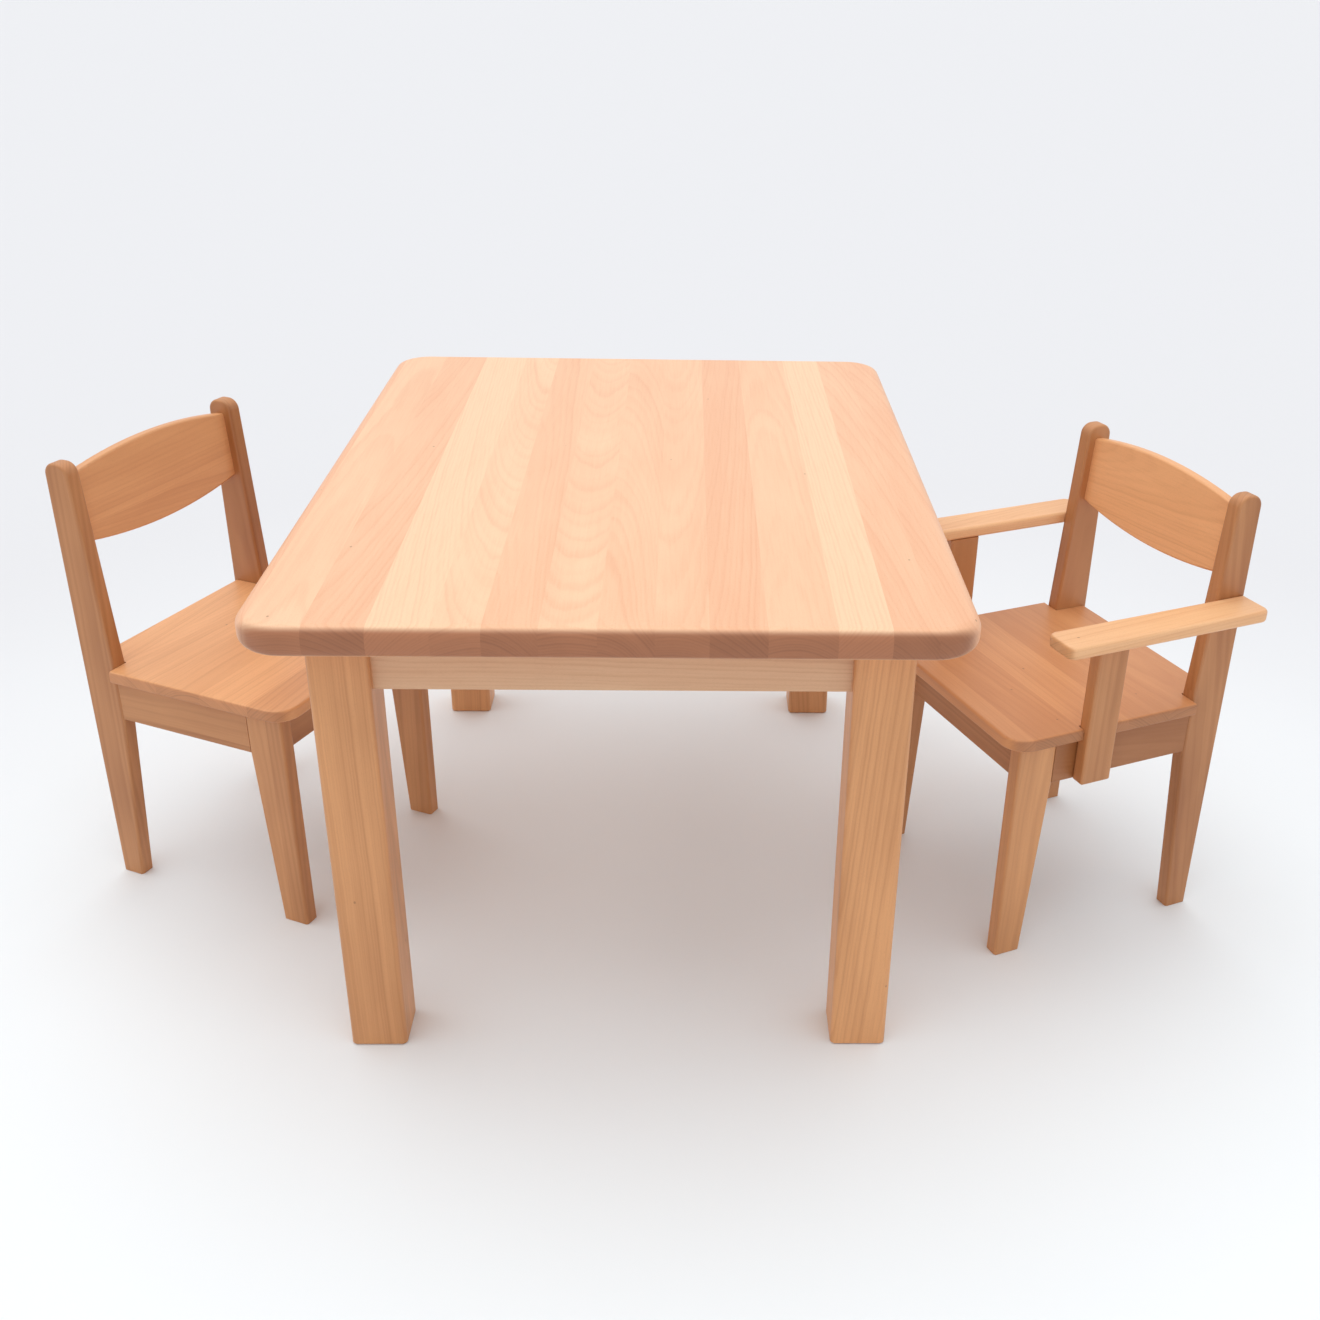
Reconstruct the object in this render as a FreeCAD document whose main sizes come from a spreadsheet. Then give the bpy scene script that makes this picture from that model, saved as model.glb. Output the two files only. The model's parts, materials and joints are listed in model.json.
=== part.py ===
import FreeCAD, Part
import math
import os

import Sketcher

# A nursery set in solid beech: a table, a side chair and an armchair.
# The table stands square to the axes. Each chair is drawn in a frame of its own, with the floor
# at z = 0, y = 0 on the rear faces of its back posts and +Y forward, and is then set down on
# the floor beside the table. Every wooden piece is a blank drilled by the dowels and screws
# that hold it.

DIMENSIONS = {
    # the table
    "table_height": 460,
    "table_width": 600,
    "table_depth": 800,
    "top_thickness": 28,
    "top_corner": 40,
    "top_edge": 11,
    "leg_side": 52,
    "leg_inset": 47,
    "leg_edge": 5,
    "foot_edge": 1.5,
    "rail_height": 56,
    "rail_thickness": 22,
    "rail_setback": 11,
    "block_leg": 62,
    "block_height": 24,
    "table_dowel_diameter": 8,
    "table_dowel_length": 32,
    # the chairs
    "seat_height": 260,
    "seat_thickness": 13,
    "seat_width": 268,
    "seat_front": 261,
    "seat_rear": 3,
    "seat_corner": 25,
    "seat_edge": 3,
    "frame_width": 252,
    "stock": 17,
    "post_top": 476,
    "post_depth_seat": 42,
    "post_depth_top": 28,
    "post_depth_foot": 26,
    "post_crown": 12,
    "leg_front": 248,
    "front_leg_depth": 43,
    "front_leg_foot": 30,
    "chair_edge": 3,
    "apron_bottom": 200,
    "apron_setback": 1,
    "apron_dowel_inset": 11,
    "chair_block_leg": 34,
    "chair_block_height": 20,
    "chair_dowel_diameter": 6,
    "chair_dowel_length": 24,
    "back_thickness": 11,
    "back_setback": 9.5,
    "back_top": 463,
    "back_bottom": 392,
    "back_crown": 11,
    "back_edge": 2.5,
    "notch_clearance": 0.4,
    # the arms
    "arm_height": 372,
    "arm_thickness": 13,
    "arm_width": 40,
    "arm_rear": 2,
    "arm_front": 235.5,
    "arm_corner": 9,
    "arm_edge": 3.5,
    "arm_post_front": 181,
    "arm_post_width": 35,
    "arm_post_thickness": 16,
    "arm_dowel_inset": 9,
    "arm_dowel_bite": 9,
    "arm_rod_rear": 10,
    "arm_rod_front": 25,
    "arm_screw_low": 11,
    "arm_screw_high": 33,
    # the screws
    "screw_diameter": 4,
    "screw_head": 8,
    "screw_head_height": 2.5,
    "top_screw_length": 40,
    "top_screw_near": 11.5,
    "top_screw_far": 30,
    "rail_screw_length": 28,
    "rail_screw_reach": 49.5,
    "rail_screw_depth": 12,
    "seat_screw_length": 30,
    "seat_screw_inset": 11,
    "arm_screw_length": 26,
}

SIDE_CHAIR_SPOT = FreeCAD.Placement(
    FreeCAD.Vector(-512, 48.5, 0), FreeCAD.Rotation(FreeCAD.Vector(0, 0, 1), -114.2)
)
ARMCHAIR_SPOT = FreeCAD.Placement(
    FreeCAD.Vector(565, -7, 0), FreeCAD.Rotation(FreeCAD.Vector(0, 0, 1), 112.6)
)
AXES = {"x": FreeCAD.Vector(1, 0, 0), "y": FreeCAD.Vector(0, 1, 0), "z": FreeCAD.Vector(0, 0, 1)}
THIN = 0.01


class Dim:
    """A length that carries its value and the sheet expression that gives it."""

    def __init__(self, value, text):
        self.value = value
        self.text = text

    def join(self, sign, other, swap=False):
        other = other if isinstance(other, Dim) else Dim(other, repr(other))
        left, right = (other, self) if swap else (self, other)
        value = {
            "+": lambda: left.value + right.value,
            "-": lambda: left.value - right.value,
            "*": lambda: left.value * right.value,
            "/": lambda: left.value / right.value,
        }[sign]()
        return Dim(value, f"({left.text} {sign} {right.text})")

    def __add__(self, other):
        return self.join("+", other)

    def __radd__(self, other):
        return self.join("+", other, True)

    def __sub__(self, other):
        return self.join("-", other)

    def __rsub__(self, other):
        return self.join("-", other, True)

    def __mul__(self, other):
        return self.join("*", other)

    def __rmul__(self, other):
        return self.join("*", other, True)

    def __truediv__(self, other):
        return self.join("/", other)

    def __neg__(self):
        return self.join("*", -1)


def as_dim(length):
    return length if isinstance(length, Dim) else Dim(length, repr(length))


document = FreeCAD.newDocument("nursery_set")
sheet = document.addObject("Spreadsheet::Sheet", "Dims")
for row, (name, size) in enumerate(DIMENSIONS.items(), start=1):
    sheet.set(f"A{row}", name)
    sheet.set(f"B{row}", str(size))
    sheet.setAlias(f"B{row}", name)
document.recompute()
D = {name: Dim(size, f"Dims.{name}") for name, size in DIMENSIONS.items()}


# ---- blanks -------------------------------------------------------------------------------


def draw_outline(sketch, corners, arcs):
    """Close the corners with lines, or with an arc of the given radius after a corner."""
    count = len(corners)
    points = [FreeCAD.Vector(x.value, y.value, 0) for x, y in corners]
    for index in range(count):
        start, end = points[index], points[(index + 1) % count]
        if index in arcs:
            radius = arcs[index]
            chord = end - start
            half = chord.Length / 2
            outward = FreeCAD.Vector(chord.y, -chord.x, 0).normalize()
            rise = radius.value - (radius.value**2 - half**2) ** 0.5
            middle = (start + end) / 2 + outward * rise
            sketch.addGeometry(Part.Arc(start, middle, end), False)
        else:
            sketch.addGeometry(Part.LineSegment(start, end), False)
    ends = []
    for index in range(count):
        # An arc runs anticlockwise in a sketch whatever order it was given in.
        curve = sketch.Geometry[index]
        forward = (curve.StartPoint - points[index]).Length < THIN
        ends.append((1, 2) if forward else (2, 1))
    for index in range(count):
        after = (index + 1) % count
        sketch.addConstraint(
            Sketcher.Constraint("Coincident", index, ends[index][1], after, ends[after][0])
        )
    for index, corner in enumerate(corners):
        for kind, length in zip(("DistanceX", "DistanceY"), corner):
            number = sketch.addConstraint(
                Sketcher.Constraint(kind, index, ends[index][0], length.value)
            )
            sketch.setExpression(f"Constraints[{number}]", length.text)
    for index, radius in arcs.items():
        number = sketch.addConstraint(Sketcher.Constraint("Radius", index, radius.value))
        sketch.setExpression(f"Constraints[{number}]", radius.text)


def slab(name, role, corners, lift, thickness, arcs=None, tilt=0):
    """A body padded from an outline on one origin plane, raised by lift along its normal."""
    body = document.addObject("PartDesign::Body", name + "_blank")
    plane = next(item for item in body.Origin.OriginFeatures if item.Role == role)
    sketch = body.newObject("Sketcher::SketchObject", name + "_outline")
    sketch.AttachmentSupport = [(plane, "")]
    sketch.MapMode = "FlatFace"
    if tilt:
        sketch.AttachmentOffset = FreeCAD.Placement(
            FreeCAD.Vector(), FreeCAD.Rotation(AXES["x"], tilt)
        )
    sketch.setExpression(".AttachmentOffset.Base.z", as_dim(lift).text)
    draw_outline(sketch, [(as_dim(x), as_dim(y)) for x, y in corners], arcs or {})
    pad = body.newObject("PartDesign::Pad", name + "_pad")
    pad.Profile = sketch
    pad.setExpression("Length", as_dim(thickness).text)
    body.Tip = pad
    document.recompute()
    return body


def stick(name, x, y, z):
    """A rectangular body between pairs of x, y and z."""
    corners = [(x[0], y[0]), (x[1], y[0]), (x[1], y[1]), (x[0], y[1])]
    return slab(name, "XY_Plane", corners, z[0], z[1] - z[0])


def soften(body, radius, wanted, kind="Fillet"):
    """Round, or chamfer, the edges of the body for which wanted(edge) is true."""
    before = body.Tip
    names = [f"Edge{n}" for n, edge in enumerate(before.Shape.Edges, 1) if wanted(edge)]
    feature = body.newObject("PartDesign::" + kind, f"{body.Name}_{kind}{len(body.Group)}")
    feature.Base = (before, names)
    feature.setExpression("Radius" if kind == "Fillet" else "Size", radius.text)
    body.Tip = feature
    document.recompute()


def extent(edge):
    box = edge.BoundBox
    return (box.XLength, box.YLength, box.ZLength)


def runs_along(edge, axis):
    """True for a straight edge along the axis 0, 1 or 2."""
    return all(size < THIN for n, size in enumerate(extent(edge)) if n != axis)


def flat_at(edge, axis, level):
    """True for an edge that lies wholly at one level of an axis."""
    centre = edge.BoundBox.Center[axis]
    return extent(edge)[axis] < THIN and abs(centre - level) < THIN


def off_floor(edge):
    return edge.BoundBox.ZMax > THIN


# ---- fasteners ----------------------------------------------------------------------------


def aim(item, start, direction):
    """Set a round solid down at start, with its own +Z along direction."""
    item.Placement = FreeCAD.Placement(
        FreeCAD.Vector(*[as_dim(value).value for value in start]),
        FreeCAD.Rotation(AXES["z"], direction),
    )
    for axis, value in zip("xyz", start):
        item.setExpression(f".Placement.Base.{axis}", as_dim(value).text)


def dowel(name, start, axis, diameter, length):
    rod = document.addObject("Part::Cylinder", name)
    rod.setExpression("Radius", (diameter / 2).text)
    rod.setExpression("Height", length.text)
    aim(rod, start, AXES[axis])
    return rod


def screw(name, start, direction, length):
    """A countersunk screw, its head's flat face at start."""
    head = document.addObject("Part::Cone", name + "_head")
    head.setExpression("Radius1", (D["screw_head"] / 2).text)
    head.setExpression("Radius2", (D["screw_diameter"] / 2).text)
    head.setExpression("Height", D["screw_head_height"].text)
    shank = document.addObject("Part::Cylinder", name + "_shank")
    shank.setExpression("Radius", (D["screw_diameter"] / 2).text)
    shank.setExpression("Height", as_dim(length).text)
    for item in (head, shank):
        aim(item, start, direction)
    whole = document.addObject("Part::Fuse", name)
    whole.Base = head
    whole.Tool = shank
    return whole


def group(name, members):
    whole = document.addObject("Part::Compound", name)
    whole.Links = members
    return whole


def finish_assembly(blanks, fasteners, spot):
    """Drill every blank with the fasteners and set the pieces down at the spot."""
    document.recompute()
    drills = group("drills_" + next(iter(blanks)), list(fasteners.values()))
    nodes = []
    for name, blank in blanks.items():
        piece = document.addObject("Part::Cut", name)
        piece.Base = blank
        piece.Tool = drills
        nodes.append(piece)
    for name, members in fasteners.items():
        nodes.append(group(name, [members]))
    for node in nodes:
        node.Placement = spot
    return nodes


# ---- table --------------------------------------------------------------------------------


def between(first, second):
    """The two levels with the lower one first."""
    return sorted((first, second), key=lambda length: length.value)


def table_top(half_w, half_d, under):
    height = D["table_height"]
    top = stick("top_board", (-half_w, half_w), (-half_d, half_d), (under, height))
    soften(top, D["top_corner"], lambda edge: runs_along(edge, 2))
    rims = (under.value, height.value)
    soften(top, D["top_edge"], lambda edge: any(flat_at(edge, 2, level) for level in rims))
    return top


def table_leg(name, x, y, under):
    leg = stick(name, x, y, (0, under))
    soften(leg, D["leg_edge"], lambda edge: runs_along(edge, 2))
    soften(leg, D["foot_edge"], lambda edge: flat_at(edge, 2, 0), "Chamfer")
    return leg


def rail(name, x, y, z, long_axis):
    """A rail or an apron, its two lower arrises eased."""
    board = stick(name, x, y, z)
    low = z[0].value
    soften(
        board,
        D["foot_edge"],
        lambda edge: flat_at(edge, 2, low) and runs_along(edge, long_axis),
    )
    return board


def table():
    half_w = D["table_width"] / 2
    half_d = D["table_depth"] / 2
    under = D["table_height"] - D["top_thickness"]
    leg_x = half_w - D["leg_inset"]
    leg_y = half_d - D["leg_inset"]
    inner_x = leg_x - D["leg_side"]
    inner_y = leg_y - D["leg_side"]
    face_x = leg_x - D["rail_setback"]
    face_y = leg_y - D["rail_setback"]
    back_x = face_x - D["rail_thickness"]
    back_y = face_y - D["rail_thickness"]
    rail_low = under - D["rail_height"]
    levels = (rail_low + D["rail_height"] / 4, under - D["rail_height"] / 4)
    rod = (D["table_dowel_diameter"], D["table_dowel_length"])
    reach = D["table_dowel_length"] / 2
    sides = {"left": -1, "right": 1}
    ends = {"front": -1, "back": 1}

    blanks = {"table_top": table_top(half_w, half_d, under)}
    dowels = []
    for end, back in ends.items():
        y = between(back * face_y, back * back_y)
        name = f"table_rail_{end}"
        blanks[name] = rail(name + "_board", (-inner_x, inner_x), y, (rail_low, under), 0)
        for side, right in sides.items():
            for level in levels:
                start = (right * inner_x - reach, (y[0] + y[1]) / 2, level)
                dowels.append(dowel(f"rod_{end}_{side}_{len(dowels)}", start, "x", *rod))
    for side, right in sides.items():
        x = between(right * face_x, right * back_x)
        name = f"table_rail_{side}"
        blanks[name] = rail(name + "_board", x, (-inner_y, inner_y), (rail_low, under), 1)
        for end, back in ends.items():
            for level in levels:
                start = ((x[0] + x[1]) / 2, back * inner_y - reach, level)
                dowels.append(dowel(f"rod_{side}_{end}_{len(dowels)}", start, "y", *rod))

    # Each corner has a leg, and a block that ties two rails, the leg and the top together.
    top_screws = []
    rail_screws = []
    block_low = under - D["block_height"]
    block_middle = under - D["block_height"] / 2
    near = D["top_screw_near"]
    far = D["top_screw_far"]
    for end, back in ends.items():
        for side, right in sides.items():
            corner = f"{end}_{side}"
            x = between(right * leg_x, right * inner_x)
            y = between(back * leg_y, back * inner_y)
            blanks[f"table_leg_{corner}"] = table_leg(f"table_leg_{corner}_stick", x, y, under)
            outline = [
                (right * inner_x, back * back_y),
                (right * inner_x, back * inner_y),
                (right * back_x, back * inner_y),
                (right * back_x, back * (inner_y - D["block_leg"])),
                (right * (inner_x - D["block_leg"]), back * back_y),
            ]
            blanks[f"table_corner_block_{corner}"] = slab(
                f"table_block_{corner}_wedge", "XY_Plane", outline, block_low, D["block_height"]
            )
            for off_x, off_y in ((near, far), (far, near)):
                start = (right * (inner_x - off_x), back * (inner_y - off_y), block_low)
                name = f"top_screw_{corner}_{len(top_screws)}"
                top_screws.append(screw(name, start, AXES["z"], D["top_screw_length"]))
            along_y = (
                right * (inner_x - D["rail_screw_reach"]),
                back * (back_y - D["rail_screw_depth"]),
                block_middle,
            )
            along_x = (
                right * (back_x - D["rail_screw_depth"]),
                back * (inner_y - D["rail_screw_reach"]),
                block_middle,
            )
            for start, heading in ((along_y, AXES["y"] * back), (along_x, AXES["x"] * right)):
                name = f"rail_screw_{corner}_{len(rail_screws)}"
                rail_screws.append(screw(name, start, heading, D["rail_screw_length"]))
    fasteners = {
        "table_dowels": group("table_dowel_set", dowels),
        "table_top_screws": group("table_top_screw_set", top_screws),
        "table_block_screws": group("table_block_screw_set", rail_screws),
    }
    return finish_assembly(blanks, fasteners, FreeCAD.Placement())


# ---- chairs -------------------------------------------------------------------------------


def back_post(name, x):
    """One board from floor to top: straight at the rear, deepest at the seat."""
    corners = [
        (0, 0),
        (D["post_depth_foot"], 0),
        (D["post_depth_seat"], D["apron_bottom"]),
        (D["post_depth_seat"], D["seat_height"]),
        (D["post_depth_top"], D["post_top"]),
        (0, D["post_top"]),
    ]
    post = slab(name, "YZ_Plane", corners, x[0], D["stock"])
    top = D["post_top"].value
    soften(
        post,
        D["post_crown"],
        lambda edge: runs_along(edge, 0) and edge.BoundBox.ZMin > top - THIN,
    )
    faces = (x[0].value, x[1].value)
    soften(
        post,
        D["chair_edge"],
        lambda edge: off_floor(edge) and any(flat_at(edge, 0, level) for level in faces),
    )
    return post


def front_leg(name, x):
    """Upright at the front, tapering at the rear below the apron."""
    top = D["seat_height"] - D["seat_thickness"]
    face = D["leg_front"]
    rear = face - D["front_leg_depth"]
    corners = [
        (face, 0),
        (face, top),
        (rear, top),
        (rear, D["apron_bottom"]),
        (face - D["front_leg_foot"], 0),
    ]
    leg = slab(name, "YZ_Plane", corners, x[0], D["stock"])
    below = top.value - THIN
    faces = (x[0].value, x[1].value)
    soften(
        leg,
        D["chair_edge"],
        lambda edge: off_floor(edge)
        and edge.BoundBox.ZMin < below
        and any(flat_at(edge, 0, level) for level in faces),
    )
    return leg


def seat_panel(name, with_arms):
    """A panel notched round the back posts and, on an armchair, round the arm posts."""
    half = D["seat_width"] / 2
    gap = D["notch_clearance"]
    post_inner = D["frame_width"] / 2 - D["stock"] - gap
    post_face = D["post_depth_seat"] + gap
    right = [(post_inner, D["seat_rear"]), (post_inner, post_face), (half, post_face)]
    if with_arms:
        arm_face = D["frame_width"] / 2 - D["apron_setback"] - gap
        rear = D["arm_post_front"] - D["arm_post_width"] - gap
        ahead = D["arm_post_front"] + gap
        right += [(half, rear), (arm_face, rear), (arm_face, ahead), (half, ahead)]
    right.append((half, D["seat_front"]))
    left = [(-x, y) for x, y in reversed(right)]
    low = D["seat_height"] - D["seat_thickness"]
    seat = slab(name, "XY_Plane", right + left, low, D["seat_thickness"])
    front = D["seat_front"].value
    soften(
        seat,
        D["seat_corner"],
        lambda edge: runs_along(edge, 2) and edge.BoundBox.YMin > front - THIN,
    )

    def on_outline(edge):
        """True for an edge of the panel's outline that isn't in a notch."""
        across, forward, _ = extent(edge)
        rim = flat_at(edge, 2, low.value) or flat_at(edge, 2, D["seat_height"].value)
        side = flat_at(edge, 0, half.value) or flat_at(edge, 0, -half.value)
        end = flat_at(edge, 1, front) or flat_at(edge, 1, D["seat_rear"].value)
        return rim and (side or end or (across > THIN and forward > THIN))

    soften(seat, D["seat_edge"], on_outline)
    return seat


def backrest_board(name):
    """A barrel-shaped board that leans with the front edges of the posts."""
    rise = D["post_top"] - D["seat_height"]
    lean = D["post_depth_seat"] - D["post_depth_top"]
    half = D["frame_width"] / 2 - D["stock"]
    crown = D["back_crown"]
    radius = (half * half + crown * crown) / (crown * 2)
    tilt = math.degrees(math.atan(lean.value / rise.value))
    corners = [
        (half, D["back_bottom"]),
        (half, D["back_top"]),
        (-half, D["back_top"]),
        (-half, D["back_bottom"]),
    ]
    # The tilted sketch turns about the x axis at the floor, so the lift brings the board's
    # front face to its setback behind the posts' sloping front edges.
    front_at_floor = D["post_depth_seat"] + lean * D["seat_height"] / rise
    lift = -(front_at_floor - D["back_setback"])
    arcs = {1: radius, 3: radius}
    board = slab(name, "XZ_Plane", corners, lift, D["back_thickness"], arcs, tilt)
    soften(board, D["back_edge"], lambda edge: edge.BoundBox.XLength > half.value)
    return board


def backrest_rods(prefix, inner):
    """Two dowels at each end of the backrest, halfway through its thickness."""
    rise = D["post_top"] - D["seat_height"]
    lean = D["post_depth_seat"] - D["post_depth_top"]
    height = D["back_top"] - D["back_bottom"]
    rods = []
    for sign in (-1, 1):
        for level in (D["back_bottom"] + height / 4, D["back_top"] - height / 4):
            post_front = D["post_depth_seat"] - lean * (level - D["seat_height"]) / rise
            y = post_front - D["back_setback"] - D["back_thickness"] / 2
            start = (sign * inner - D["chair_dowel_length"] / 2, y, level)
            name = f"{prefix}_back_rod_{len(rods)}"
            rods.append(
                dowel(name, start, "x", D["chair_dowel_diameter"], D["chair_dowel_length"])
            )
    return rods


def chair(prefix, spot, with_arms):
    outer = D["frame_width"] / 2
    inner = outer - D["stock"]
    under = D["seat_height"] - D["seat_thickness"]
    height = (D["apron_bottom"], under)
    half_apron = (D["stock"] - D["apron_setback"]) / 2
    post_face = D["post_depth_seat"]
    post_middle = post_face / 2
    leg_rear = D["leg_front"] - D["front_leg_depth"]
    leg_middle = D["leg_front"] - D["front_leg_depth"] / 2
    rod = (D["chair_dowel_diameter"], D["chair_dowel_length"])
    reach = D["chair_dowel_length"] / 2
    levels = (D["apron_bottom"] + D["apron_dowel_inset"], under - D["apron_dowel_inset"])
    ends = {"front": (leg_middle, -1), "back": (post_middle, 1)}

    blanks = {"seat": seat_panel(prefix + "_seat_panel", with_arms)}
    dowels = backrest_rods(prefix, inner)
    for side, sign in (("left", -1), ("right", 1)):
        x = between(sign * inner, sign * outer)
        blanks["front_leg_" + side] = front_leg(f"{prefix}_leg_{side}", x)
        blanks["back_post_" + side] = back_post(f"{prefix}_post_{side}", x)
        x = between(sign * inner, sign * (inner + half_apron * 2))
        blanks["side_apron_" + side] = rail(
            f"{prefix}_side_{side}", x, (post_face, leg_rear), height, 1
        )
        for level in levels:
            for y in (post_face, leg_rear):
                start = ((x[0] + x[1]) / 2, y - reach, level)
                dowels.append(dowel(f"{prefix}_rod_{len(dowels)}", start, "y", *rod))
            for y in (leg_middle, post_middle):
                start = (sign * inner - reach, y, level)
                dowels.append(dowel(f"{prefix}_rod_{len(dowels)}", start, "x", *rod))
    for end, (middle, _) in ends.items():
        y = (middle - half_apron, middle + half_apron)
        blanks[end + "_apron"] = rail(f"{prefix}_{end}_cross", (-inner, inner), y, height, 0)
    blanks["backrest"] = backrest_board(prefix + "_back_board")

    # A wedge under each corner of the seat, with a screw up into the seat.
    seat_screws = []
    low = under - D["chair_block_height"]
    size = D["chair_block_leg"]
    inset = D["seat_screw_inset"]
    for end, (middle, inward) in ends.items():
        face = middle + half_apron * inward
        for side, sign in (("left", -1), ("right", 1)):
            outline = [
                (sign * inner, face),
                (sign * inner, face + size * inward),
                (sign * (inner - size), face),
            ]
            blanks[f"corner_block_{end}_{side}"] = slab(
                f"{prefix}_wedge_{end}_{side}", "XY_Plane", outline, low, D["chair_block_height"]
            )
            start = (sign * (inner - inset), face + inset * inward, low)
            name = f"{prefix}_seat_screw_{end}_{side}"
            seat_screws.append(screw(name, start, AXES["z"], D["seat_screw_length"]))
    fasteners = {
        "dowels": group(prefix + "_dowel_set", dowels),
        "seat_screws": group(prefix + "_seat_screw_set", seat_screws),
    }

    if with_arms:
        arm_blanks, arm_fasteners = arms(prefix, inner, outer)
        blanks.update(arm_blanks)
        fasteners.update(arm_fasteners)
    return finish_assembly(
        {f"{prefix}_{name}": blank for name, blank in blanks.items()},
        {f"{prefix}_{name}": item for name, item in fasteners.items()},
        spot,
    )


def armrest(name, sign, x, z):
    """A board with its outer corners rounded; its inner face lies on the back post."""
    arm = stick(name, x, (D["arm_rear"], D["arm_front"]), z)
    outside = x[1].value if sign > 0 else x[0].value
    front = D["arm_front"].value
    soften(
        arm,
        D["arm_corner"],
        lambda edge: runs_along(edge, 2)
        and (flat_at(edge, 0, outside) or flat_at(edge, 1, front)),
    )
    rims = (z[0].value, z[1].value)
    soften(arm, D["arm_edge"], lambda edge: any(flat_at(edge, 2, level) for level in rims))
    return arm


def arms(prefix, inner, outer):
    """Armrests on the outer faces of the back posts, carried in front by posts on the aprons."""
    low = D["apron_bottom"]
    arm_low = D["arm_height"] - D["arm_thickness"]
    rear = D["arm_post_front"] - D["arm_post_width"]
    post_inner = outer - D["apron_setback"]
    post_outer = post_inner + D["arm_post_thickness"]
    post_y = (rear, D["arm_post_front"])
    rod = (D["chair_dowel_diameter"], D["chair_dowel_length"])
    blanks = {}
    rods = []
    screws = []
    for side, sign in (("left", -1), ("right", 1)):
        x = between(sign * outer, sign * (outer + D["arm_width"]))
        z = (arm_low, D["arm_height"])
        blanks["armrest_" + side] = armrest(f"{prefix}_arm_{side}", sign, x, z)
        x = between(sign * post_inner, sign * post_outer)
        post = stick(f"{prefix}_arm_upright_{side}", x, post_y, (low, arm_low))
        soften(post, D["chair_edge"], lambda edge: runs_along(edge, 2))
        soften(post, D["foot_edge"], lambda edge: flat_at(edge, 2, low.value), "Chamfer")
        blanks["arm_post_" + side] = post

        for y in (rear + D["arm_dowel_inset"], D["arm_post_front"] - D["arm_dowel_inset"]):
            foot = arm_low + D["arm_dowel_bite"] - D["chair_dowel_length"]
            start = ((x[0] + x[1]) / 2, y, foot)
            rods.append(dowel(f"{prefix}_arm_rod_{len(rods)}", start, "z", *rod))
        for y in (D["arm_rod_rear"], D["arm_rod_front"]):
            level = arm_low + D["arm_thickness"] / 2
            start = (sign * outer - D["chair_dowel_length"] / 2, y, level)
            rods.append(dowel(f"{prefix}_arm_rod_{len(rods)}", start, "x", *rod))
        for rise in (D["arm_screw_low"], D["arm_screw_high"]):
            start = (sign * inner, (post_y[0] + post_y[1]) / 2, low + rise)
            name = f"{prefix}_arm_screw_{len(screws)}"
            screws.append(screw(name, start, AXES["x"] * sign, D["arm_screw_length"]))
    fasteners = {
        "arm_dowels": group(prefix + "_arm_dowel_set", rods),
        "arm_screws": group(prefix + "_arm_screw_set", screws),
    }
    return blanks, fasteners


# ---- the set ------------------------------------------------------------------------------


nodes = table()
nodes += chair("side_chair", SIDE_CHAIR_SPOT, False)
nodes += chair("armchair", ARMCHAIR_SPOT, True)
document.recompute()

# The origin is on the floor, at the middle of the set's own footprint.
whole = FreeCAD.BoundBox()
for node in nodes:
    whole.add(node.Shape.optimalBoundingBox())
for node in nodes:
    node.Placement.Base = node.Placement.Base - FreeCAD.Vector(whole.Center.x, whole.Center.y, 0)
document.recompute()

for item in document.Objects:
    if "Invalid" in item.State or "Error" in item.State:
        raise RuntimeError(f"{item.Name} failed: {item.State}")
for node in nodes:
    if node.Shape.isNull() or not node.Shape.isValid() or not node.Shape.Solids:
        raise RuntimeError(f"{node.Label} has no valid shape")

os.makedirs("parts", exist_ok=True)
for node in nodes:
    node.Shape.exportStep(f"parts/{node.Label}.step")
print(len(nodes), "nodes; the table's centre is at", -whole.Center.x, -whole.Center.y)
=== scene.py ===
import json
import math
import random

import bpy
from mathutils import Matrix, Vector


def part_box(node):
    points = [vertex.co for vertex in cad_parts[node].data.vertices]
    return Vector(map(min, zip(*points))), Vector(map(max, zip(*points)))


# The looks of a nursery set in oiled beech: a table, a side chair and an armchair.
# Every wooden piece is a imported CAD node. Its finish is drawn in the space of the board it was
# cut from, with x along the grain, y across the staves and z through the thickness.

MM = 0.001

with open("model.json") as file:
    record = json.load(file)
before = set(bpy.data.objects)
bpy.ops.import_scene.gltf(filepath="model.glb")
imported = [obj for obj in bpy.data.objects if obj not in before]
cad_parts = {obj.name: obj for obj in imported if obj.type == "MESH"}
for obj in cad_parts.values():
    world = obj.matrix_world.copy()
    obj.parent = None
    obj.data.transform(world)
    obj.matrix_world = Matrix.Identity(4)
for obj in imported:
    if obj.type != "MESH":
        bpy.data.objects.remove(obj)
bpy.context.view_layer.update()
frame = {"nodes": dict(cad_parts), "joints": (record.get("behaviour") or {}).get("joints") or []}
NODES = frame["nodes"]
JOINTS = {joint["name"]: joint for joint in frame["joints"]}


# ---- node tree helpers --------------------------------------------------------------------


def connect(tree, value, socket):
    if isinstance(value, bpy.types.NodeSocket):
        tree.links.new(value, socket)
    else:
        socket.default_value = value


def add(tree, kind, inputs=None, **settings):
    """A shader node, with each input set to a number or linked from a socket."""
    node = tree.nodes.new("ShaderNode" + kind)
    for name, value in settings.items():
        setattr(node, name, value)
    for key, value in (inputs or {}).items():
        connect(tree, value, node.inputs[key])
    return node


def calc(tree, operation, first, second=0.0, third=0.0):
    inputs = {0: first, 1: second, 2: third}
    return add(tree, "Math", inputs, operation=operation).outputs[0]


def scaled(tree, vector, amounts):
    inputs = {0: vector, 1: amounts}
    return add(tree, "VectorMath", inputs, operation="MULTIPLY").outputs[0]


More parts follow.
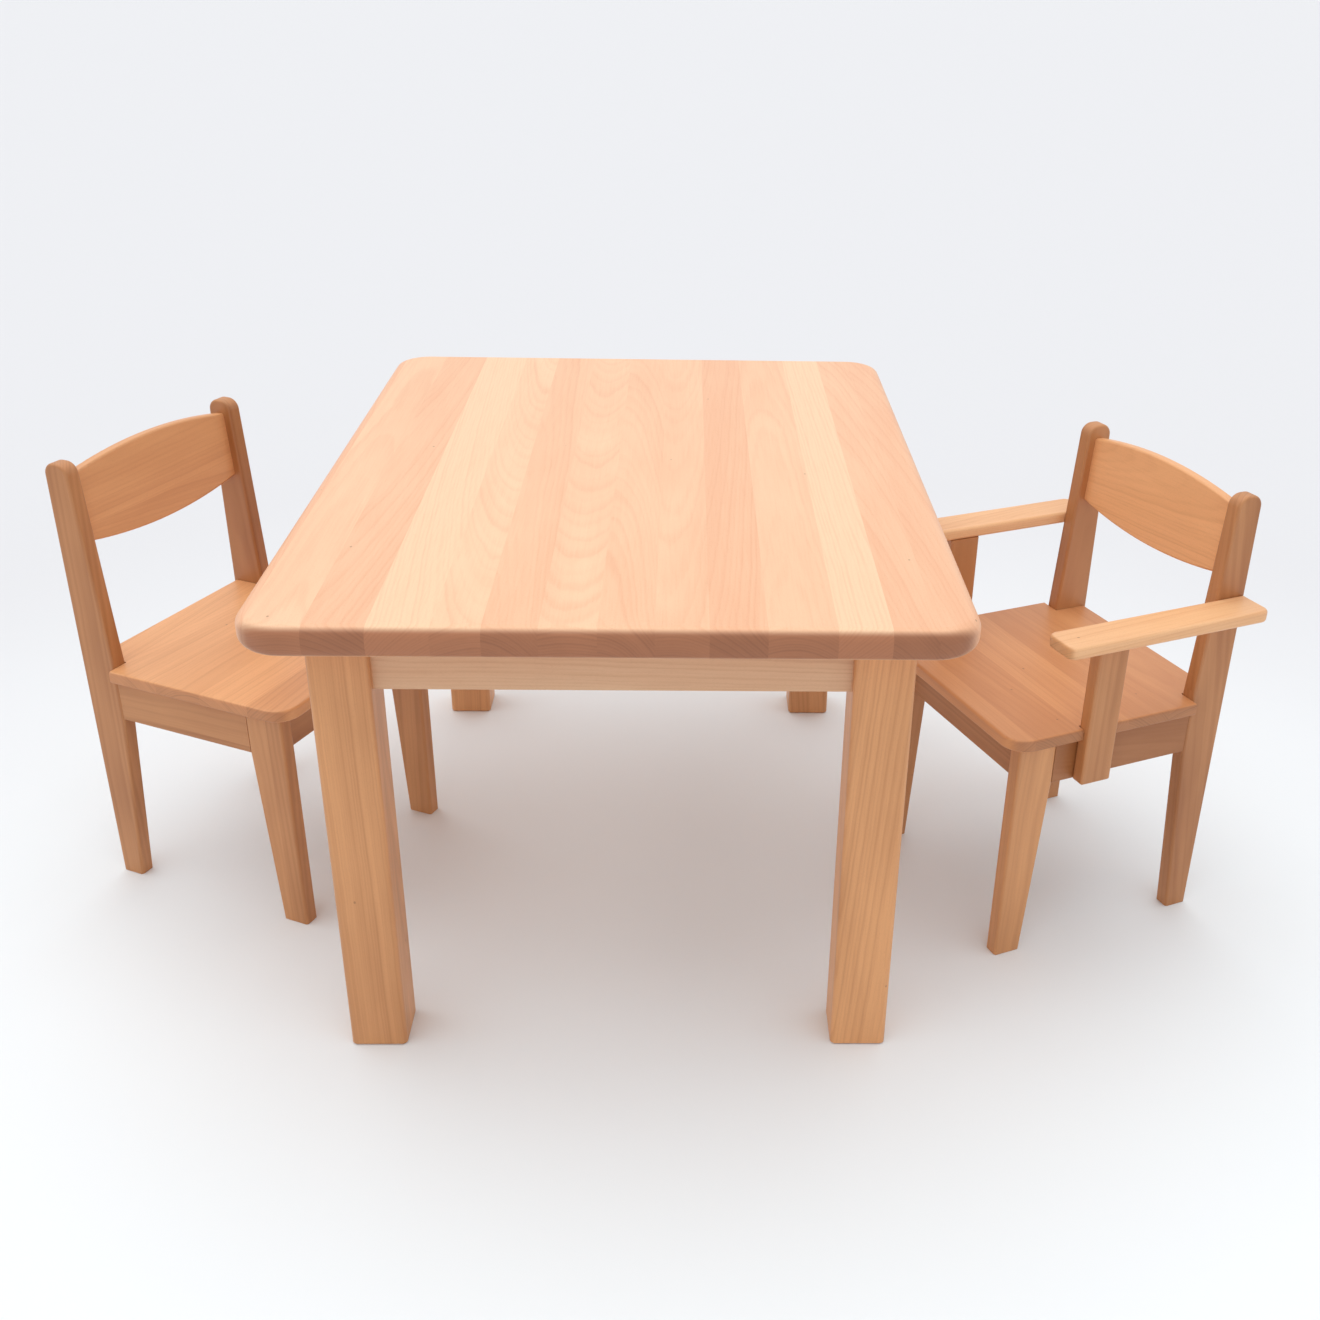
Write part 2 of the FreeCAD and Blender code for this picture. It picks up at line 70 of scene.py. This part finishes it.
def remap(tree, value, low, high, start=0.0, end=1.0):
    """Value taken smoothly from low..high to start..end."""
    inputs = {"Value": value, "From Min": low, "From Max": high, "To Min": start, "To Max": end}
    node = add(tree, "MapRange", inputs, interpolation_type="SMOOTHSTEP")
    return node.outputs[0]


def noise(tree, vector, detail=2.0, roughness=0.5, scale=1.0):
    inputs = {"Vector": vector, "Scale": scale, "Detail": detail, "Roughness": roughness}
    return add(tree, "TexNoise", inputs).outputs[0]


def blend_colour(tree, share, first, second):
    """First turned into second by share; a colour mix has its sockets at 0, 6 and 7."""
    node = add(tree, "Mix", None, data_type="RGBA")
    for index, value in ((0, share), (6, first), (7, second)):
        connect(tree, value, node.inputs[index])
    return node.outputs[2]


# ---- beech --------------------------------------------------------------------------------

# Sizes inside a board, in mm. The pith is the trunk's centre line, round which the rings grow.
RING = 2.6
RING_RIPPLE = 1.8
RING_UNEVEN = 5.0
PITH_SIDEWAYS = 75.0
PITH_NEAREST = 35.0
PITH_SPREAD = 60.0
TRUNK_SWAY = 8.0
LOG_LENGTH = 900.0
# The slopes of boards against their pith span this much, half of it either way.
TRUNK_LEAN = 0.16
# How unevenly wide the staves are, from 0 to 1.
STAVE_UNEVEN = 0.45

# How often a pattern repeats in a mm: along the grain, across the staves, through the thickness.
SWAY_FINENESS = (0.0028, 0.004, 0.004)
RIPPLE_FINENESS = (0.02, 0.05, 0.05)
FIBRE_FINENESS = (0.018, 0.55, 0.55)
CLOUD_FINENESS = (0.006, 0.028, 0.028)
RAY_FINENESS = (0.30, 1.5, 1.5)
KNOT_FINENESS = (0.018, 0.025, 0.025)
# The same outward from the pith.
YEAR_FINENESS = 0.12
BAND_FINENESS = 0.22

# Where a pattern starts and ends: a share of the ring, a noise value, or a distance inside one
# ray or knot cell. End grain is told by how squarely a face looks along the board.
RING_DARKENS = (0.2, 0.8)
RING_PALES = (0.8, 1.0)
BAND_LIMITS = (0.35, 0.65)
BAND_PALEST = 0.25
RAY_LIMITS = (0.16, 0.34)
KNOT_LIMITS = (0.018, 0.034)
END_LIMITS = (0.35, 0.85)

# How strongly each pattern shows, from 0 to 1.
RING_STRENGTH = 0.24
FIBRE_STRENGTH = 0.50
RAY_STRENGTH = 0.16
KNOT_STRENGTH = 0.5
CLOUD_STRENGTH = 0.75
BAND_STRENGTH = 0.7
END_STRENGTH = 0.9
# The brightness of end grain, and what tone and late wood take from it.
END_BRIGHTNESS = 1.2
END_TONE = -0.35
END_LATE = -0.16

# The shine of the oiled wood.
ROUGHNESS = 0.36
ROUGHNESS_FIBRE = 0.16
ROUGHNESS_END = 0.12
COAT = 0.10
COAT_ROUGHNESS = 0.30
OIL_IOR = 1.48
BUMP_STRENGTH = 0.12
BUMP_DEPTH = 0.4 * MM
# How far each pattern raises or sinks the face, as a share of that depth.
FIBRE_RELIEF = 0.8
LATE_RELIEF = -0.35
RAY_RELIEF = -0.5

# The random draws start here; each piece adds its own number.
SEED = 302
SEED_SPREAD = 40
TONE_SPREAD = 0.12

RAY_BROWN = (0.38, 0.17, 0.08, 1)
KNOT_BROWN = (0.20, 0.08, 0.03, 1)
# The palest wood, the rosiest wood, the late wood and the end grain of each kind of board. The
# rail and frame colours hold painted shade for upright faces, and the top's end grain colour holds
# painted shade for its front edge.
PALETTES = {
    "top": (
        (0.90, 0.585, 0.36, 1),
        (0.84, 0.445, 0.255, 1),
        (0.74, 0.32, 0.165, 1),
        # The end grain colour, darkened with painted shade for the table top's shaded front edge.
        (0.31, 0.098, 0.036, 1),
    ),
    # Painted shade: a darker copy of the beech for the rails' upright faces under the top.
    "rail": (
        (0.72, 0.46, 0.28, 1),
        (0.62, 0.33, 0.18, 1),
        (0.42, 0.18, 0.085, 1),
        (0.42, 0.185, 0.09, 1),
    ),
    "arm": (
        (0.90, 0.53, 0.275, 1),
        (0.74, 0.36, 0.16, 1),
        (0.58, 0.25, 0.10, 1),
        (0.60, 0.29, 0.12, 1),
    ),
    "seat": (
        (0.86, 0.43, 0.19, 1),
        (0.62, 0.265, 0.105, 1),
        (0.52, 0.20, 0.075, 1),
        (0.48, 0.20, 0.085, 1),
    ),
    # Painted shade: a darker, rosier copy of the beech for the upright faces of legs, posts and
    # aprons. Its end grain colour, which shows on the upward post tops, is lighter than these
    # shaded sides.
    "frame": (
        (0.73, 0.345, 0.143, 1),
        (0.34, 0.12, 0.034, 1),
        (0.43, 0.165, 0.058, 1),
        (0.58, 0.25, 0.10, 1),
    ),
}

# What the figure of a board is worked out from, and what it gives the shader.
FIGURE_INPUTS = {
    "Board": "NodeSocketVector",
    "Normal": "NodeSocketVector",
    "Seed": "NodeSocketFloat",
    "Stave": "NodeSocketFloat",
    "Tone": "NodeSocketFloat",
    "Contrast": "NodeSocketFloat",
    "Pale": "NodeSocketColor",
    "Rosy": "NodeSocketColor",
    "Late": "NodeSocketColor",
    "End": "NodeSocketColor",
}
FIGURE_OUTPUTS = {
    "Color": "NodeSocketColor",
    "Roughness": "NodeSocketFloat",
    "Height": "NodeSocketFloat",
}


def joined(tree, x, y, z):
    return add(tree, "CombineXYZ", {0: x, 1: y, 2: z}).outputs[0]


def swing(tree, value, amount, base):
    """Base moved up and down by up to half of amount, as value goes from 0 to 1."""
    centred = calc(tree, "SUBTRACT", value, 0.5)
    return calc(tree, "MULTIPLY_ADD", centred, amount, base)


def growth_radius(tree, own, side, along, through, lots):
    """How far a point of a stave is from the pith of its trunk, in mm."""
    pith_side = swing(tree, lots[0], 2 * PITH_SIDEWAYS, 0.0)
    pith_depth = calc(tree, "MULTIPLY_ADD", lots[1], PITH_SPREAD, PITH_NEAREST)
    lean = swing(tree, lots[2], TRUNK_LEAN, 0.0)
    sway = noise(tree, scaled(tree, own, SWAY_FINENESS), detail=1.0)
    depth = calc(tree, "MULTIPLY_ADD", along, lean, pith_depth)
    depth = calc(tree, "MULTIPLY_ADD", sway, TRUNK_SWAY, depth)
    deep = calc(tree, "ADD", through, depth)
    wide = calc(tree, "SUBTRACT", side, pith_side)
    square = calc(tree, "MULTIPLY", wide, wide)
    radius = calc(tree, "SQRT", calc(tree, "MULTIPLY_ADD", deep, deep, square))
    ripple = noise(tree, scaled(tree, own, RIPPLE_FINENESS))
    return calc(tree, "MULTIPLY_ADD", ripple, RING_RIPPLE, radius)


def beech_figure():
    """Growth rings, rays, fibre and colour of a board made up of edge-glued staves."""
    tree = bpy.data.node_groups.new("beech_figure", "ShaderNodeTree")
    for name, kind in FIGURE_INPUTS.items():
        tree.interface.new_socket(name, in_out="INPUT", socket_type=kind)
    for name, kind in FIGURE_OUTPUTS.items():
        tree.interface.new_socket(name, in_out="OUTPUT", socket_type=kind)
    given = tree.nodes.new("NodeGroupInput").outputs
    along, across, through = add(tree, "SeparateXYZ", {0: given["Board"]}).outputs

    # Staves of uneven width, each with three random numbers and a place in the log of its own.
    staves = calc(tree, "ADD", calc(tree, "DIVIDE", across, given["Stave"]), given["Seed"])
    cells = add(tree, "TexVoronoi", None, voronoi_dimensions="1D")
    tree.links.new(staves, cells.inputs["W"])
    cells.inputs["Scale"].default_value = 1.0
    cells.inputs["Randomness"].default_value = STAVE_UNEVEN
    lots = add(tree, "SeparateColor", {0: cells.outputs["Color"]}).outputs
    side = calc(tree, "SUBTRACT", staves, cells.outputs["W"])
    side = calc(tree, "MULTIPLY", side, given["Stave"])
    place = calc(tree, "MULTIPLY", calc(tree, "ADD", lots[2], given["Seed"]), LOG_LENGTH)
    shift = joined(tree, place, 0.0, 0.0)
    own = add(tree, "VectorMath", {0: given["Board"], 1: shift}, operation="ADD").outputs[0]

    # A ring darkens slowly towards its late wood, then pales again faster.
    radius = growth_radius(tree, own, side, along, through, lots)
    years = noise(tree, joined(tree, radius, lots[1], 0.0), scale=YEAR_FINENESS)
    years = calc(tree, "MULTIPLY_ADD", years, RING_UNEVEN, radius)
    ring = calc(tree, "FRACT", calc(tree, "DIVIDE", years, RING))
    darkened = remap(tree, ring, *RING_DARKENS)
    late = calc(tree, "MULTIPLY", darkened, remap(tree, ring, *RING_PALES, 1.0, 0.0))
    bands = noise(tree, joined(tree, radius, lots[0], 0.0), scale=BAND_FINENESS)
    late = calc(tree, "MULTIPLY", late, remap(tree, bands, *BAND_LIMITS, BAND_PALEST, 1.0))
    fibre = noise(tree, scaled(tree, own, FIBRE_FINENESS), detail=4.0, roughness=0.62)
    cloud = noise(tree, scaled(tree, own, CLOUD_FINENESS))

    # Rays are short dark dashes along the grain.
    dashes = add(tree, "TexVoronoi", {"Vector": scaled(tree, own, RAY_FINENESS), "Scale": 1.0})
    ray = remap(tree, dashes.outputs["Distance"], *RAY_LIMITS, 1.0, 0.0)

    # Pin knots are rare dark specks.
    knots = add(tree, "TexVoronoi", {"Vector": scaled(tree, own, KNOT_FINENESS), "Scale": 1.0})
    knot = remap(tree, knots.outputs["Distance"], *KNOT_LIMITS, 1.0, 0.0)

    # End grain shows wherever the face looks along the board.
    turned = add(tree, "SeparateXYZ", {0: given["Normal"]}).outputs[0]
    end = remap(tree, calc(tree, "ABSOLUTE", turned), *END_LIMITS)

    # The tone of the stave, then of the clouds and bands inside it.
    tone = calc(tree, "SUBTRACT", lots[0], 0.5)
    tone = calc(tree, "MULTIPLY_ADD", tone, given["Contrast"], given["Tone"])
    tone = swing(tree, cloud, CLOUD_STRENGTH, tone)
    tone = swing(tree, bands, BAND_STRENGTH, tone)
    tone = add(tree, "Clamp", {0: tone}).outputs[0]
    colour = blend_colour(tree, tone, given["Pale"], given["Rosy"])
    streak = swing(tree, fibre, FIBRE_STRENGTH, calc(tree, "MULTIPLY", late, RING_STRENGTH))
    streak = add(tree, "Clamp", {0: streak}).outputs[0]
    colour = blend_colour(tree, streak, colour, given["Late"])
    colour = blend_colour(tree, calc(tree, "MULTIPLY", ray, RAY_STRENGTH), colour, RAY_BROWN)
    colour = blend_colour(tree, calc(tree, "MULTIPLY", knot, KNOT_STRENGTH), colour, KNOT_BROWN)
    # End grain is darker in a rosy stave and in its late wood.
    bright = calc(tree, "MULTIPLY_ADD", tone, END_TONE, END_BRIGHTNESS)
    bright = calc(tree, "MULTIPLY_ADD", late, END_LATE, bright)
    end_colour = scaled(tree, given["End"], joined(tree, bright, bright, bright))
    # On the table top this end grain colour also holds painted shade for its shaded front edge.
    colour = blend_colour(tree, calc(tree, "MULTIPLY", end, END_STRENGTH), colour, end_colour)

    rough = calc(tree, "MULTIPLY_ADD", fibre, ROUGHNESS_FIBRE, ROUGHNESS)
    rough = calc(tree, "MULTIPLY_ADD", end, ROUGHNESS_END, rough)
    relief = calc(tree, "MULTIPLY", fibre, FIBRE_RELIEF)
    relief = calc(tree, "MULTIPLY_ADD", late, LATE_RELIEF, relief)
    relief = calc(tree, "MULTIPLY_ADD", ray, RAY_RELIEF, relief)
    out = tree.nodes.new("NodeGroupOutput")
    for name, socket in (("Color", colour), ("Roughness", rough), ("Height", relief)):
        tree.links.new(socket, out.inputs[name])
    return tree


BEECH = beech_figure()
# The turns, one after another, that lay a piece's grain along the board's x axis. A piece's
# grain runs along its own x, y or z axis, and an upright piece is a board that stands on edge.
GRAIN_TURNS = {
    "x": (),
    "y": (("Z", -90),),
    "z": (("Y", 90),),
    "x_upright": (("X", 90),),
    "y_upright": (("Z", -90), ("X", 90)),
}


def board_turn(heading, grain):
    """The rotation from the row frame to the board that a piece was cut from."""
    turn = Matrix.Rotation(math.radians(-heading), 3, "Z")
    for axis, degrees in GRAIN_TURNS[grain]:
        turn = Matrix.Rotation(math.radians(degrees), 3, axis) @ turn
    return turn.to_euler("XYZ")


def principled(name):
    """A new material, its node tree and its shader."""
    material = bpy.data.materials.new(name)
    material.use_nodes = True
    tree = material.node_tree
    shader = next(node for node in tree.nodes if node.type == "BSDF_PRINCIPLED")
    return material, tree, shader


def beech(name, heading, kind, seed):
    """The finish of one piece of an assembly that is turned by heading, in degrees."""
    material, tree, shader = principled("beech_" + name)
    draw = random.Random(seed + SEED)
    turn = board_turn(heading, kind["grain"])
    # The board's origin is the middle of the piece.
    low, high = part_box(name)
    centring = turn.to_matrix() @ ((low + high) / -2)
    place = add(tree, "TexCoord").outputs
    inputs = {"Vector": place["Object"], "Rotation": turn, "Location": centring}
    board = add(tree, "Mapping", inputs, vector_type="POINT").outputs[0]
    board = scaled(tree, board, Vector((1, 1, 1)) / MM)
    inputs = {"Vector": place["Normal"], "Rotation": turn}
    normal = add(tree, "Mapping", inputs, vector_type="VECTOR").outputs[0]

    pale, rosy, late, end = PALETTES[kind["palette"]]
    values = {
        "Board": board,
        "Normal": normal,
        "Seed": draw.uniform(0, SEED_SPREAD),
        "Stave": kind["stave"],
        "Tone": kind["tone"] + draw.uniform(-TONE_SPREAD, TONE_SPREAD),
        "Contrast": kind["contrast"],
        "Pale": pale,
        "Rosy": rosy,
        "Late": late,
        "End": end,
    }
    figure = add(tree, "Group", None, node_tree=BEECH)
    for key, value in values.items():
        connect(tree, value, figure.inputs[key])
    height = figure.outputs["Height"]
    inputs = {"Height": height, "Strength": BUMP_STRENGTH, "Distance": BUMP_DEPTH}
    bump = add(tree, "Bump", inputs)
    tree.links.new(figure.outputs["Color"], shader.inputs["Base Color"])
    tree.links.new(figure.outputs["Roughness"], shader.inputs["Roughness"])
    tree.links.new(bump.outputs[0], shader.inputs["Normal"])
    shader.inputs["Coat Weight"].default_value = COAT
    shader.inputs["Coat Roughness"].default_value = COAT_ROUGHNESS
    shader.inputs["IOR"].default_value = OIL_IOR
    return material


# How many scratches there are in a metre, and the screws' range of colour and roughness.
SCRATCH_FINENESS = (900, 900, 250)
ZINC_DARK = (0.50, 0.51, 0.53, 1)
ZINC_BRIGHT = (0.68, 0.69, 0.71, 1)
ZINC_ROUGHNESS = (0.28, 0.5)


def zinc_steel():
    """Zinc plate, scratched along its length."""
    material, tree, shader = principled("zinc_steel")
    place = add(tree, "TexCoord").outputs["Object"]
    scratches = noise(tree, scaled(tree, place, SCRATCH_FINENESS), detail=3.0)
    bright = blend_colour(tree, scratches, ZINC_DARK, ZINC_BRIGHT)
    tree.links.new(bright, shader.inputs["Base Color"])
    tree.links.new(remap(tree, scratches, 0.2, 0.8, *ZINC_ROUGHNESS), shader.inputs["Roughness"])
    shader.inputs["Metallic"].default_value = 1.0
    return material


def cut(palette, grain, stave, tone, contrast):
    """How a kind of piece is cut: its colours, its grain and its stave width in mm.

    Tone runs from the palest wood at 0 to the rosiest at 1, and contrast is how far it differs
    from one stave to another.
    """
    return {"palette": palette, "grain": grain, "stave": stave, "tone": tone, "contrast": contrast}


# The first entry whose words are in a node's name is that node's cut.
CUTS = {
    # Partly painted shade: the armchair's side aprons take a dark, rosy tone for their own wood
    # and for the shade under its seat.
    "armchair_side_apron": cut("frame", "y_upright", 90, 0.95, 0.2),
    "armchair_back_post": cut("frame", "z", 60, 0.74, 0.3),
    "armchair_front_leg": cut("frame", "z", 60, 0.50, 0.3),
    "armchair_backrest": cut("seat", "x_upright", 100, 0.20, 0.2),
    # Partly painted shade: the armchair's seat takes a darker tone for its own wood and for the
    # table's shadow on it.
    "armchair_seat": cut("seat", "x", 55, 0.86, 0.3),
    "table_top": cut("top", "y", 46, 0.50, 1.25),
    "table_leg_front_right": cut("frame", "z", 26, 0.02, 0.3),
    "table_leg": cut("frame", "z", 26, 0.28, 0.4),
    "table_rail_front": cut("rail", "x_upright", 90, 0.50, 0.2),
    "table_rail_back": cut("rail", "x_upright", 90, 0.50, 0.2),
    "table_rail": cut("rail", "y_upright", 90, 0.50, 0.2),
    "corner_block": cut("frame", "x", 60, 0.30, 0.3),
    "armrest": cut("arm", "y", 60, 0.30, 0.3),
    "arm_post": cut("frame", "z", 60, 0.62, 0.3),
    "seat": cut("seat", "x", 55, 0.28, 0.5),
    "backrest": cut("seat", "x_upright", 100, 0.52, 0.2),
    "front_apron": cut("frame", "x_upright", 90, 0.70, 0.2),
    "back_apron": cut("frame", "x_upright", 90, 0.70, 0.2),
    "side_apron": cut("frame", "y_upright", 90, 0.45, 0.2),
    "dowel": cut("frame", "z", 20, 0.40, 0.2),
    "leg": cut("frame", "z", 60, 0.34, 0.4),
    "post": cut("frame", "z", 60, 0.92, 0.4),
}


def heading_of(joint):
    """How far a chair is turned, from the direction in which it slides, in degrees."""
    x, y, _ = JOINTS[joint]["axis"]
    return math.degrees(math.atan2(-x, y))


HEADINGS = {
    "table": 0.0,
    "side_chair": heading_of("side_chair_slide"),
    "armchair": heading_of("armchair_slide"),
}


def finish_wood(name, seed):
    heading = next(HEADINGS[prefix] for prefix in HEADINGS if name.startswith(prefix))
    kind = next(CUTS[words] for words in CUTS if words in name)
    return beech(name, heading, kind, seed)


steel = zinc_steel()
for number, (name, node) in enumerate(sorted(NODES.items())):
    finish = steel if "screws" in name else finish_wood(name, number)
    node.data.materials.clear()
    node.data.materials.append(finish)


# ---- stage --------------------------------------------------------------------------------

# The floor is palest round a spot under the table's front edge, and fades to grey between two
# distances from there: a painted pool of light near the table and painted shade further off. Its
# near colour is a little blue, painted against the warm light that the wood throws into the
# shadows. Sizes are in metres.
FLOOR_HALF = 40.0
FLOOR_DROP = 0.3 * MM
FLOOR_CENTRE_Y = -0.35
FLOOR_FADE = (0.6, 1.7)
FLOOR_NEAR = (0.84, 0.865, 0.885, 1)
FLOOR_FAR = (0.705, 0.70, 0.72, 1)
MOTTLE_FINENESS = 1.4
MOTTLE_SPREAD = 0.2
FLOOR_ROUGHNESS = 0.75
FLOOR_SHEEN = 0.2

# A white room, and a lamp as wide as this angle in degrees.
WORLD_COLOUR = (0.945, 0.98, 1.0, 1)
WORLD_STRENGTH = 0.90
LAMP_COLOUR = (1.0, 0.975, 0.95)
LAMP_ENERGY = 1.18
LAMP_WIDTH = 75
LAMP_AIM = Vector((0.16, -0.14, -1.0))

# The camera's lens and sensor in mm, its shifts as shares of the picture, its place in mm, and
# its turns in degrees. Its x is measured from the middle of the table.
LENS = 39.74
SENSOR = 36.0
SHIFT_X = -0.0506
SHIFT_Y = 0.0038
CAMERA_PLACE = (58.5, -1426.4, 955.5)
CAMERA_YAW = -1.91
CAMERA_DOWN = 27.06
CAMERA_ROLL = 1.23
CLIP_END = 100.0


def pale_floor():
    """A wide floor just under the feet, with a painted pool of light near the table and painted
    shade further off.
    """
    mesh = bpy.data.meshes.new("studio_floor")
    signs = ((-1, -1), (1, -1), (1, 1), (-1, 1))
    corners = [(x * FLOOR_HALF, y * FLOOR_HALF, -FLOOR_DROP) for x, y in signs]
    mesh.from_pydata(corners, [], [(0, 1, 2, 3)])
    floor = bpy.data.objects.new("studio_floor", mesh)
    bpy.context.scene.collection.objects.link(floor)
    material, tree, shader = principled("pale_paper")
    place = add(tree, "TexCoord").outputs["Object"]
    mottle = noise(tree, place, scale=MOTTLE_FINENESS)
    inputs = {0: place, 1: (0, FLOOR_CENTRE_Y, 0)}
    distance = add(tree, "VectorMath", inputs, operation="DISTANCE").outputs["Value"]
    distance = calc(tree, "MULTIPLY_ADD", mottle, MOTTLE_SPREAD, distance)
    # Painted light and shade: lighter near the table's front and greyer further off, with a
    # mottled edge.
    colour = blend_colour(tree, remap(tree, distance, *FLOOR_FADE), FLOOR_NEAR, FLOOR_FAR)
    tree.links.new(colour, shader.inputs["Base Color"])
    shader.inputs["Roughness"].default_value = FLOOR_ROUGHNESS
    shader.inputs["Specular IOR Level"].default_value = FLOOR_SHEEN
    mesh.materials.append(material)


def soft_light():
    """Even light from a white room, and one broad lamp overhead."""
    world = bpy.data.worlds.new("white_room")
    bpy.context.scene.world = world
    world.use_nodes = True
    background = world.node_tree.nodes["Background"]
    background.inputs["Color"].default_value = WORLD_COLOUR
    background.inputs["Strength"].default_value = WORLD_STRENGTH
    lamp = bpy.data.lights.new("overhead", "SUN")
    lamp.energy = LAMP_ENERGY
    lamp.angle = math.radians(LAMP_WIDTH)
    lamp.color = LAMP_COLOUR
    overhead = bpy.data.objects.new("overhead", lamp)
    bpy.context.scene.collection.objects.link(overhead)
    overhead.rotation_mode = "QUATERNION"
    overhead.rotation_quaternion = LAMP_AIM.to_track_quat("-Z", "Y")


def standing_camera():
    """A standing adult's view of the table's short side, a little to the right of it."""
    table_low, table_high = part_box("table_top")
    centre_x = (table_low.x + table_high.x) / 2
    data = bpy.data.cameras.new("camera")
    data.sensor_width = SENSOR
    data.lens = LENS
    data.shift_x = SHIFT_X
    data.shift_y = SHIFT_Y
    data.clip_end = CLIP_END
    camera = bpy.data.objects.new("camera", data)
    bpy.context.scene.collection.objects.link(camera)
    yaw = Matrix.Rotation(math.radians(CAMERA_YAW), 4, "Z")
    pitch = Matrix.Rotation(math.radians(90 - CAMERA_DOWN), 4, "X")
    roll = Matrix.Rotation(math.radians(CAMERA_ROLL), 4, "Z")
    place = Matrix.Translation(Vector(CAMERA_PLACE) * MM + Vector((centre_x, 0, 0)))
    camera.matrix_world = place @ yaw @ pitch @ roll
    bpy.context.scene.camera = camera


pale_floor()
soft_light()
standing_camera()
bpy.context.scene.view_settings.view_transform = "Standard"
